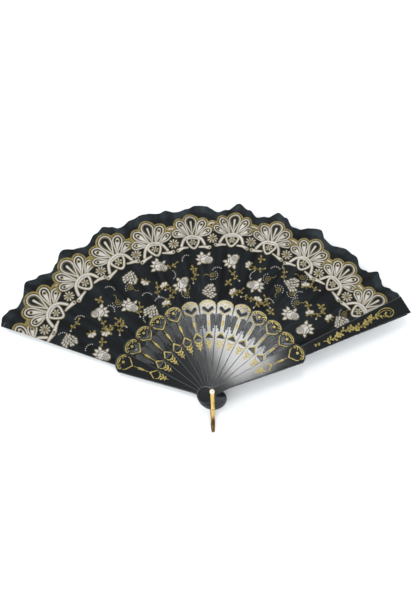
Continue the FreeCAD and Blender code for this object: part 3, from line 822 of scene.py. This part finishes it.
class FAN_OT_leaf(bpy.types.Operator):
    """Make the pleated and printed cloth, one sheet from each stick to the next"""
    bl_idname = "fan.leaf"
    bl_label = "Cloth leaf"

    def execute(self, context):
        settings = context.scene.fan_leaf
        draw = paint_leaf(context.scene.fan_print)
        material = leaf_material(context.scene.fan_colours)
        for number in range(LAST):
            x, y, z, reach, rim = leaf_surface(number, settings)
            rows, columns = x.shape
            points = np.concatenate([np.stack([x, y, height], -1).reshape(-1, 3)
                                     for height in (z + CLOTH, z)])
            piece = new_piece(f"leaf_{number + 1:02d}", points, [slab_faces(rows, columns)],
                              material)
            mesh = piece.data
            pearl, gold = draw.sample(x.ravel(), y.ravel())
            margin = smooth_step(reach, rim - MARGIN_START, rim - MARGIN_END).ravel()
            inks = np.ones((2, rows * columns, 4), np.float32)
            inks[0, :, :3] = np.stack([pearl, gold, margin], -1)
            inks[1, :, :3] = np.stack([pearl * PRINT_THROUGH, gold * PRINT_THROUGH, margin], -1)
            layer = mesh.attributes.new("print_ink", "FLOAT_COLOR", "POINT")
            layer.data.foreach_set("color", inks.ravel())
            corner = np.zeros(len(mesh.loops), np.int32)
            mesh.loops.foreach_get("vertex_index", corner)
            flat = mesh.uv_layers.new(name="cloth_mm")
            flat.data.foreach_set("uv", points[corner, :2].astype(np.float32).ravel())

            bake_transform(piece)
            nodes = [f"leaf_fold_{number + 1:02d}", f"leaf_panel_{number:02d}"]
            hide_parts(*nodes, *([f"leaf_panel_{LAST:02d}"] if number == LAST - 1 else []))
        return {"FINISHED"}


# ---------------------------------------------------------------- foil on the sticks

def draw_grip_foil(motif):
    """Foil on a grip: head band with curls, dot, shield, spindle, arrow, crescent and a flourish.

    The middle line is u = 0 and v is the distance from the rivet.
    """
    turn = np.radians(np.arange(-56, 57, 8))
    motif.line(np.stack([8.9 * np.sin(turn), 88.0 + 8.9 * np.cos(turn)], 1), 1.0)
    motif.line([(-3.4, 94.8), (0, 95.3), (3.4, 94.8)], (0.5, 1.3, 0.5))
    for points, width in (
            (soften([(7.5, 92.8), (7.5, 90.9), (5.6, 91.0), (5.8, 92.5)]), 0.65),
            ([(4.9, 94.0), (2.8, 92.6)], (1.3, 0.5)),
            ([(0, 81.5), (6.2, 86.6)], (1.1, 0.9)),
            ([(6.2, 86.6), (6.9, 89.0)], (0.9, 0.5)),
            ([(0, 63.2), (4.3, 57.6)], (1.3, 0.8)),
            ([(0, 48.4), (2.4, 51.2)], (0.8, 1.6)),
            ([(0, 46.6), (1.7, 47.6)], (0.6, 1.1))):
        for side in (-1, 1):
            motif.line(np.array(points) * (side, 1), width)
    motif.dots((0, 91.2), foil=1.4)
    motif.line([(0, 65.4), (0, 68.4), (0, 70.6), (0, 74.6), (0, 76.6), (0, 79.6)],
               (0.8, 0.4, 1.9, 2.2, 0.5, 0.5))
    motif.line(soften([(-3.8, 56.0), (-3.0, 53.8), (0, 52.4), (3.0, 53.8), (3.8, 56.0)], 2),
               (0.5, 1.7, 0.5))
    motif.line([(0, 52.4), (0, 44.2)], (0.9, 0.5))


def draw_guard_vine(motif):
    """Flowering vine up the front guard's blade, ending in a curled leaf."""
    reach = np.linspace(120, 184, 60)
    motif.line(np.stack([1.5 * np.sin((reach - 120) / 5.2), reach], 1), 0.6)
    for step, v in enumerate(range(123, 184, 4)):
        u, side = 1.5 * math.sin((v - 120) / 5.2), (-1) ** step
        motif.area(petal((u, v), side * 58, 4.4, 1.8), 0.1)
        motif.area(petal((u, v + 1), side * -40, 3.0, 1.4), 0.1)
    for v, u in ((137, 0.6), (152, -0.4), (157, 2.2), (168, 0.8), (174, -1.8)):
        for turn in range(0, 360, 72):
            motif.area(petal((u, v), turn, 2.9, 1.9), 0.15)
        motif.dots((u, v), plastic=0.5)
    outer = soften([(-2.0, 181), (-5.6, 188), (-4.8, 196), (0.6, 200.5), (5.2, 196.5), (4.6, 191),
                    (0.8, 189.4), (-0.6, 192.4)])
    motif.line(outer, np.linspace(0.9, 1.4, len(outer)))
    inner = soften([(-1.0, 182.5), (-3.4, 188.5), (-2.6, 194.6), (0.8, 197.6), (2.8, 194.6)])
    motif.line(inner, 0.6)
    for v in (184.5, 187.5, 190.5):
        motif.line([(0.6 + (v - 184) * 0.25, v), (3.4, v + 1.2)], [1.4, 0.5])
    for v in (111, 115):
        motif.line(spiral((0.4, v), 0.3, 1.4, 40 * v, 1.2), 0.6)


# The foil reaches this far into the plastic.
FOIL_ROOT = 0.02
# The front guard's blade lies this far below the face of its grip.
GRIP_STEP = 0.33
# Low and high corners of what is stamped on a rib, on a guard's grip and on the blade.
RIB_FOIL = ((-9.5, 42), (9.5, 99))
GUARD_FOIL = ((-11, 42), (11, 99))
BLADE_FOIL = ((-9, 105), (9, 204))


def foil_piece(name, field, angle, level, height, material):
    """Thin closed foil over the cells whose middles are inside the field.

    Corners on the outline move along the field's slope to where the field is zero. The foil
    stands a height above the plastic and reaches FOIL_ROOT into it.
    """
    values = field.field
    middle = (values[:-1, :-1] + values[1:, :-1] + values[:-1, 1:] + values[1:, 1:]) / 4
    kept = middle > 0
    rows, columns = values.shape
    index, quads = grid_faces(rows, columns)
    behind, quads = rows * columns, quads[kept]
    padded = np.pad(kept, 1)
    walls = []
    for shift, first, second in (((-1, 0), (0, 0), (0, 1)), ((0, 1), (0, 1), (1, 1)),
                                 ((1, 0), (1, 1), (1, 0)), ((0, -1), (1, 0), (0, 0))):
        beside = padded[1 + shift[0]:rows + shift[0], 1 + shift[1]:columns + shift[1]]
        row, column = np.nonzero(kept & ~beside)
        a = index[row + first[0], column + first[1]]
        b = index[row + second[0], column + second[1]]
        walls.append(np.stack([a, a + behind, b + behind, b], 1))
    walls = np.concatenate(walls)
    slope_y, slope_x = np.gradient(values, field.cell)
    steep = np.maximum(slope_x ** 2 + slope_y ** 2, 0.25)
    rim = np.zeros(behind, bool)
    rim[walls[:, [0, 3]]] = True
    furthest = 0.6 * field.cell
    move = np.where(rim.reshape(rows, columns), np.clip(-values, -furthest, furthest), 0)
    u, v = field.x + move * slope_x / steep, field.y + move * slope_y / steep
    turn = math.radians(angle - 90)
    x, y = u * math.cos(turn) - v * math.sin(turn), u * math.sin(turn) + v * math.cos(turn)
    points = np.concatenate([np.stack([x, y, np.full(x.shape, z)], -1).reshape(-1, 3)
                             for z in (level + height, level - FOIL_ROOT)])
    faces = np.concatenate([quads, quads[:, ::-1] + behind, walls])
    used, renumbered = np.unique(faces, return_inverse=True)
    return new_piece(name, points[used], [renumbered.reshape(-1, 4)], material)


def foil_material(colours):
    """Hot-stamped metallic foil on ABS.

    A bright vacuum-metallised film with a yellow lacquer, pressed on by a hot die: shiny,
    slightly dimpled, and worn to the dark plastic in specks.
    """
    material, tree, shader = new_material("hot_stamped_gold_foil")
    place = add_node(tree, "TexCoord").outputs["Object"]
    specks = add_node(tree, "TexNoise", {"Vector": place, "Scale": 900.0, "Detail": 3.0,
                                         "Roughness": 0.7})
    tone = add_node(tree, "TexNoise", {"Vector": place, "Scale": 260.0, "Detail": 2.0})
    wear = add_node(tree, "MapRange", {"Value": specks, "From Min": 0.36, "From Max": 0.46})
    shade = add_node(tree, "MapRange", {"Value": tone, "From Min": 0.3, "From Max": 0.7,
                                        "To Min": 0.55, "To Max": 1.1})
    gold = add_node(tree, "VectorMath", {0: colours.foil[:3], "Scale": shade},
                    operation="SCALE")
    wear_and_edge_highlight = add_node(tree, "Mix", {"Factor": wear, "A": hex_colour("#4a4225"), "B": gold},
                    data_type="RGBA")
    metal = add_node(tree, "MapRange", {"Value": wear, "To Min": 0.2, "To Max": 0.8})
    rough = add_node(tree, "MapRange", {"Value": tone, "To Min": 0.3, "To Max": 0.5})
    bump = add_node(tree, "Bump", {"Strength": 0.35, "Distance": 0.00005, "Height": specks})
    set_inputs(shader, {"Base Color": wear_and_edge_highlight, "Metallic": metal, "Roughness": rough,
                        "Normal": bump})
    return material


class FAN_OT_foil(bpy.types.Operator):
    """Stamp the gold foil on both guards and every rib"""
    bl_idname = "fan.foil"
    bl_label = "Stamped foil"

    def execute(self, context):
        settings = context.scene.fan_foil
        material = foil_material(context.scene.fan_colours)
        cell, height = settings.cell * MM, settings.height * MM
        rib, guard, blade = (FoilField(*corners, cell)
                             for corners in (RIB_FOIL, GUARD_FOIL, BLADE_FOIL))
        draw_grip_foil(Motif(rib))
        draw_grip_foil(Motif(guard))
        draw_guard_vine(Motif(blade))
        stamps = [(f"foil_{STICKS[stick]}", rib, stick, 0) for stick in range(1, LAST)]
        stamps += [("foil_front_grip", guard, LAST, 0),
                   ("foil_front_blade", blade, LAST, GRIP_STEP), ("foil_back_grip", guard, 0, 0)]
        for name, field, stick, step in stamps:
            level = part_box(STICKS[stick])[1].z * MM - step
            piece = foil_piece(name, field, STICK_ANGLES[stick], level, height, material)
            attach(piece, STICKS[stick])
        return {"FINISHED"}


# ---------------------------------------------------------------- bail

# The brass is painted dark brown as shade from its far end, where it bends away from the light,
# up to the first of these places, and keeps its own colour from the second on, in metres along Y.
BEND_SHADE_TO, UNSHADED_FROM = -0.0265, -0.0225


def brass_material(colours):
    """Stamped brass strip.

    Rolled brass with a thin lacquer: warm and bright, with small stains from handling, and
    painted dark brown at the bend as shade, where the strip turns away from the light.
    """
    material, tree, shader = new_material("stamped_brass")
    place = add_node(tree, "TexCoord").outputs["Object"]
    stain = add_node(tree, "TexNoise", {"Vector": place, "Scale": 420.0, "Detail": 3.0})
    parts = add_node(tree, "SeparateXYZ", {"Vector": place})
    unshaded = add_node(tree, "MapRange", {"Value": parts.outputs["Y"], "From Min": BEND_SHADE_TO,
                                        "From Max": UNSHADED_FROM})
    bright = add_node(tree, "Mix", {"Factor": stain, "A": hex_colour("#a5803a"),
                                    "B": colours.brass[:]}, data_type="RGBA")
    # Painted shade: dark brown on the bend.
    bend_shaded = add_node(tree, "Mix", {"Factor": unshaded, "A": hex_colour("#5e4018"), "B": bright},
                    data_type="RGBA")
    rough = add_node(tree, "MapRange", {"Value": stain, "To Min": 0.2, "To Max": 0.42})
    bump = add_node(tree, "Bump", {"Strength": 0.3, "Distance": 0.0001, "Height": stain})
    set_inputs(shader, {"Base Color": bend_shaded, "Metallic": 0.9, "Roughness": rough,
                        "Normal": bump})
    return material


# Rope moulding: where it starts below the rivet, half its width at the start and at the bend,
# how much each turn of the rope swells, how deep it is set in the strip, and its points.
ROPE_START = -4.2
ROPE_HALF_WIDTHS = (1.35, 1.05)
ROPE_SWELL, ROPE_SET = 0.22, 0.06
ROPE_POINTS_ALONG, ROPE_POINTS_AROUND = 300, 13


class FAN_OT_bail(bpy.types.Operator):
    """Run a rope moulding round the outside of the bail"""
    bl_idname = "fan.bail"
    bl_label = "Bail"

    def execute(self, context):
        settings, material = context.scene.fan_bail, brass_material(context.scene.fan_colours)
        give_finish("bail", material)
        low, high = (np.array(corner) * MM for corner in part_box("bail"))
        radius = (high[2] - low[2]) / 2
        bend = low[1] + radius
        straight, arc = ROPE_START - bend, math.pi * radius
        total = 2 * straight + arc
        # The path runs out along the front face, round the bend and back along the rear face.
        along = np.linspace(0, total, ROPE_POINTS_ALONG)
        turn = np.clip((along - straight) / radius, 0, math.pi)
        y = np.where(along < straight, ROPE_START - along, bend - radius * np.sin(turn))
        y = np.where(along > straight + arc, bend + along - straight - arc, y)
        z = (low[2] + high[2]) / 2 + radius * np.cos(turn)
        outward = np.stack([-np.sin(turn), np.cos(turn)], 1)
        # The section is half an ellipse whose height swells in slanting waves, turn by turn.
        width = np.interp(np.minimum(along, total - along), (0, straight), ROPE_HALF_WIDTHS)
        around = np.linspace(0, math.pi, ROPE_POINTS_AROUND)
        lay = 2 * math.pi * along[:, None] / (settings.rope_lay * MM)
        swell = 1 + ROPE_SWELL * np.sin(lay + 2 * around[None, :])
        across = width[:, None] * np.cos(around)[None, :]
        lift = settings.rope_height * MM * np.sin(around)[None, :] * swell - ROPE_SET
        points = np.stack([across, y[:, None] + outward[:, :1] * lift,
                           z[:, None] + outward[:, 1:] * lift], -1).reshape(-1, 3)
        index, over = grid_faces(ROPE_POINTS_ALONG, ROPE_POINTS_AROUND)
        under = np.stack([index[:-1, 0], index[1:, 0], index[1:, -1], index[:-1, -1]], -1)
        faces = np.concatenate([over.reshape(-1, 4), under])
        caps = [index[0][None, :], index[-1][None, ::-1]]
        piece = new_piece("bail_rope", points, [faces, *caps], material)
        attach(piece, "bail")
        return {"FINISHED"}


# ---------------------------------------------------------------- sticks and rivet

def plastic_material(colours):
    """Glossy black ABS, injection moulded.

    The gate is at the butt, so faint flow lines run along each stick; the faces were polished
    in the mould, then scuffed by the neighbours as the fan opens and closes. Edges are round,
    and a pale colour is painted on them as a highlight, full up to the fretwork and faint beyond.
    """
    material, tree, shader = new_material("moulded_black_abs")
    place = add_node(tree, "TexCoord").outputs["Object"]
    flow, reach = round_rivet(tree, place, 90.0, 60.0)
    streaks = add_node(tree, "TexNoise", {"Vector": flow, "Scale": 1.0, "Detail": 4.0})
    clouds = add_node(tree, "TexNoise", {"Vector": place, "Scale": 70.0, "Detail": 4.0})
    scuff = add_node(tree, "MapRange", {"Value": streaks, "From Min": 0.3, "From Max": 0.7,
                                        "To Min": 0.07, "To Max": 0.12})
    rough = add_node(tree, "Math", {0: clouds, 1: 0.05, 2: scuff}, operation="MULTIPLY_ADD")
    edges = add_node(tree, "Bevel", {"Radius": 0.0013}, samples=8)
    bump = add_node(tree, "Bump", {"Strength": 0.15, "Distance": 0.00005, "Height": streaks,
                                   "Normal": edges})
    flat = add_node(tree, "NewGeometry").outputs["True Normal"]
    bend = add_node(tree, "VectorMath", {0: edges, 1: flat}, operation="DOT_PRODUCT")
    # Painted highlight: the pale colour goes where the rounded edge turns, fully up to the fretwork
    # and faintly beyond it.
    edge_highlight = add_node(tree, "MapRange", {"Value": bend, "From Min": 0.995, "From Max": 0.90,
                                         "To Min": 0.0, "To Max": 0.85})
    edge_highlight_reach = add_node(tree, "MapRange", {"Value": reach, "From Min": 0.055,
                                          "From Max": 0.063, "To Min": 1.0, "To Max": 0.15})
    share = add_node(tree, "Math", {0: edge_highlight, 1: edge_highlight_reach}, operation="MULTIPLY")
    wear_and_edge_highlight = add_node(tree, "Mix", {"Factor": share, "A": colours.plastic[:],
                                  "B": colours.edge_highlight[:]}, data_type="RGBA")
    set_inputs(shader, {"Base Color": wear_and_edge_highlight, "Roughness": rough, "Normal": bump, "IOR": 1.54})
    return material


def rivet_material(colours):
    """Nickel-plated steel, bright from the setting tool, with fine turned rings."""
    material, tree, shader = new_material("nickel_plated_steel")
    place = add_node(tree, "TexCoord").outputs["Object"]
    rings = add_node(tree, "TexWave", {"Vector": place, "Scale": 700.0, "Distortion": 1.0},
                     wave_type="RINGS", rings_direction="Z").outputs["Fac"]
    rough = add_node(tree, "MapRange", {"Value": rings, "To Min": 0.2, "To Max": 0.34})
    set_inputs(shader, {"Base Color": colours.steel[:], "Metallic": 1.0, "Roughness": rough})
    return material


class FAN_OT_sticks(bpy.types.Operator):
    """Give the moulded sticks and the rivet their finishes"""
    bl_idname = "fan.sticks"
    bl_label = "Sticks and rivet"

    def execute(self, context):
        colours = context.scene.fan_colours
        plastic = plastic_material(colours)
        for stick in STICKS:
            give_finish(stick, plastic)
        give_finish("rivet", rivet_material(colours))
        return {"FINISHED"}


# ---------------------------------------------------------------- stage

def aim(item, place, target, roll=0.0):
    """Puts a light or camera at a place, looking at a target."""
    back = (Vector(place) - Vector(target)).normalized()
    turn = (-back).to_track_quat("-Z", "Y").to_matrix().to_4x4()
    item.matrix_world = Matrix.Translation(place) @ turn @ Matrix.Rotation(roll, 4, "Z")


# The floor's height, just below the fan's lowest face, and how far out it goes on each side.
FLOOR_LEVEL, FLOOR_REACH = -0.4, 3000
# Nearest and furthest that the camera sees, in metres.
NEAR, FAR = 0.01, 20
# Upward part of a direction where the bright walls end and the dark ceiling starts.
WALL_TOP, CEILING_START = 0.55, 0.85
SKY_COLOUR = (0.94, 0.98, 1, 1)
# The key light is a long softbox. Its reflection makes the pale bar across the sticks.
KEY_PLACE, KEY_TARGET = (0.078, 0.365, 0.73), (0.03, 0.055, 0.015)
KEY_WIDTH, KEY_LENGTH, KEY_POWER, KEY_ROLL = 0.095, 0.24, 1.2, 36


class FAN_OT_stage(bpy.types.Operator):
    """Set up the camera, the pale floor and the soft studio light"""
    bl_idname = "fan.stage"
    bl_label = "Stage"

    def execute(self, context):
        scene, stage = context.scene, context.scene.fan_stage
        camera = bpy.data.objects.new("camera", bpy.data.cameras.new("camera"))
        scene.collection.objects.link(camera)
        camera.data.angle = stage.view_angle
        camera.data.clip_start, camera.data.clip_end = NEAR, FAR
        flat = math.cos(stage.elevation)
        back = Vector((math.sin(stage.azimuth) * flat, -math.cos(stage.azimuth) * flat,
                       math.sin(stage.elevation)))
        target = Vector(stage.target)
        aim(camera, target + back * stage.distance, target, stage.roll)
        scene.camera = camera

        x, y = np.meshgrid(*[np.linspace(-FLOOR_REACH, FLOOR_REACH, 13)] * 2)
        paper, _, shader = new_material("white_seamless_paper")
        set_inputs(shader, {"Base Color": stage.floor[:], "Roughness": 0.9,
                            "Specular IOR Level": 0.0})
        points = np.stack([x, y, np.full(x.shape, FLOOR_LEVEL)], -1).reshape(-1, 3)
        floor = new_piece("floor", points, [grid_faces(*x.shape)[1].reshape(-1, 4)], paper)

        world = bpy.data.worlds.new("studio")
        world.use_nodes = True
        sky = world.node_tree
        way = add_node(sky, "TexCoord").outputs["Generated"]
        heading = add_node(sky, "SeparateXYZ", {"Vector": way}).outputs
        height = add_node(sky, "MapRange", {
            "Value": heading["Z"], "From Min": WALL_TOP, "From Max": CEILING_START,
            "To Min": stage.walls, "To Max": stage.ceiling})
        side = add_node(sky, "MapRange", {
            "Value": heading["X"], "From Min": -1.0, "From Max": 1.0,
            "To Min": 1 + stage.side, "To Max": 1 - stage.side})
        strength = add_node(sky, "Math", {0: height, 1: side}, operation="MULTIPLY")
        set_inputs(sky.nodes["Background"], {"Color": SKY_COLOUR, "Strength": strength})
        scene.world = world
        scene.view_settings.view_transform = "Standard"

        light = bpy.data.lights.new("key", "AREA")
        light.shape, light.energy = "RECTANGLE", KEY_POWER
        light.size, light.size_y = KEY_WIDTH, KEY_LENGTH
        key = bpy.data.objects.new("key", light)
        scene.collection.objects.link(key)
        aim(key, KEY_PLACE, KEY_TARGET, math.radians(KEY_ROLL))
        return {"FINISHED"}


# ---------------------------------------------------------------- panel and start

class FAN_PT_panel(bpy.types.Panel):
    """Buttons and settings for the hand fan"""
    bl_idname = "FAN_PT_panel"
    bl_label = "Hand Fan"
    bl_space_type = "VIEW_3D"
    bl_region_type = "UI"
    bl_category = "Hand Fan"

    def draw(self, context):
        for operator in OPERATORS:
            self.layout.operator(operator.bl_idname)
        for name, group in SETTINGS.items():
            box = self.layout.box()
            for entry in group.__annotations__:
                box.prop(getattr(context.scene, name), entry)


SETTINGS = {"fan_leaf": FanLeafSettings, "fan_print": FanPrintSettings,
            "fan_foil": FanFoilSettings, "fan_bail": FanBailSettings,
            "fan_colours": FanColourSettings, "fan_stage": FanStageSettings}
OPERATORS = (FAN_OT_stage, FAN_OT_sticks, FAN_OT_leaf, FAN_OT_foil, FAN_OT_bail)


def register():
    """Adds the classes, and each group of settings to the scene."""
    for item in (*SETTINGS.values(), *OPERATORS, FAN_PT_panel):
        bpy.utils.register_class(item)
    for name, group in SETTINGS.items():
        setattr(bpy.types.Scene, name, PointerProperty(type=group))


def unregister():
    """Takes them away again."""
    for name in SETTINGS:
        delattr(bpy.types.Scene, name)
    for item in reversed((*SETTINGS.values(), *OPERATORS, FAN_PT_panel)):
        bpy.utils.unregister_class(item)


def main():
    """Makes every piece."""
    register()
    bpy.ops.fan.stage()
    bpy.ops.fan.sticks()
    bpy.ops.fan.leaf()
    bpy.ops.fan.foil()
    bpy.ops.fan.bail()


if __name__ == "__main__":
    main()
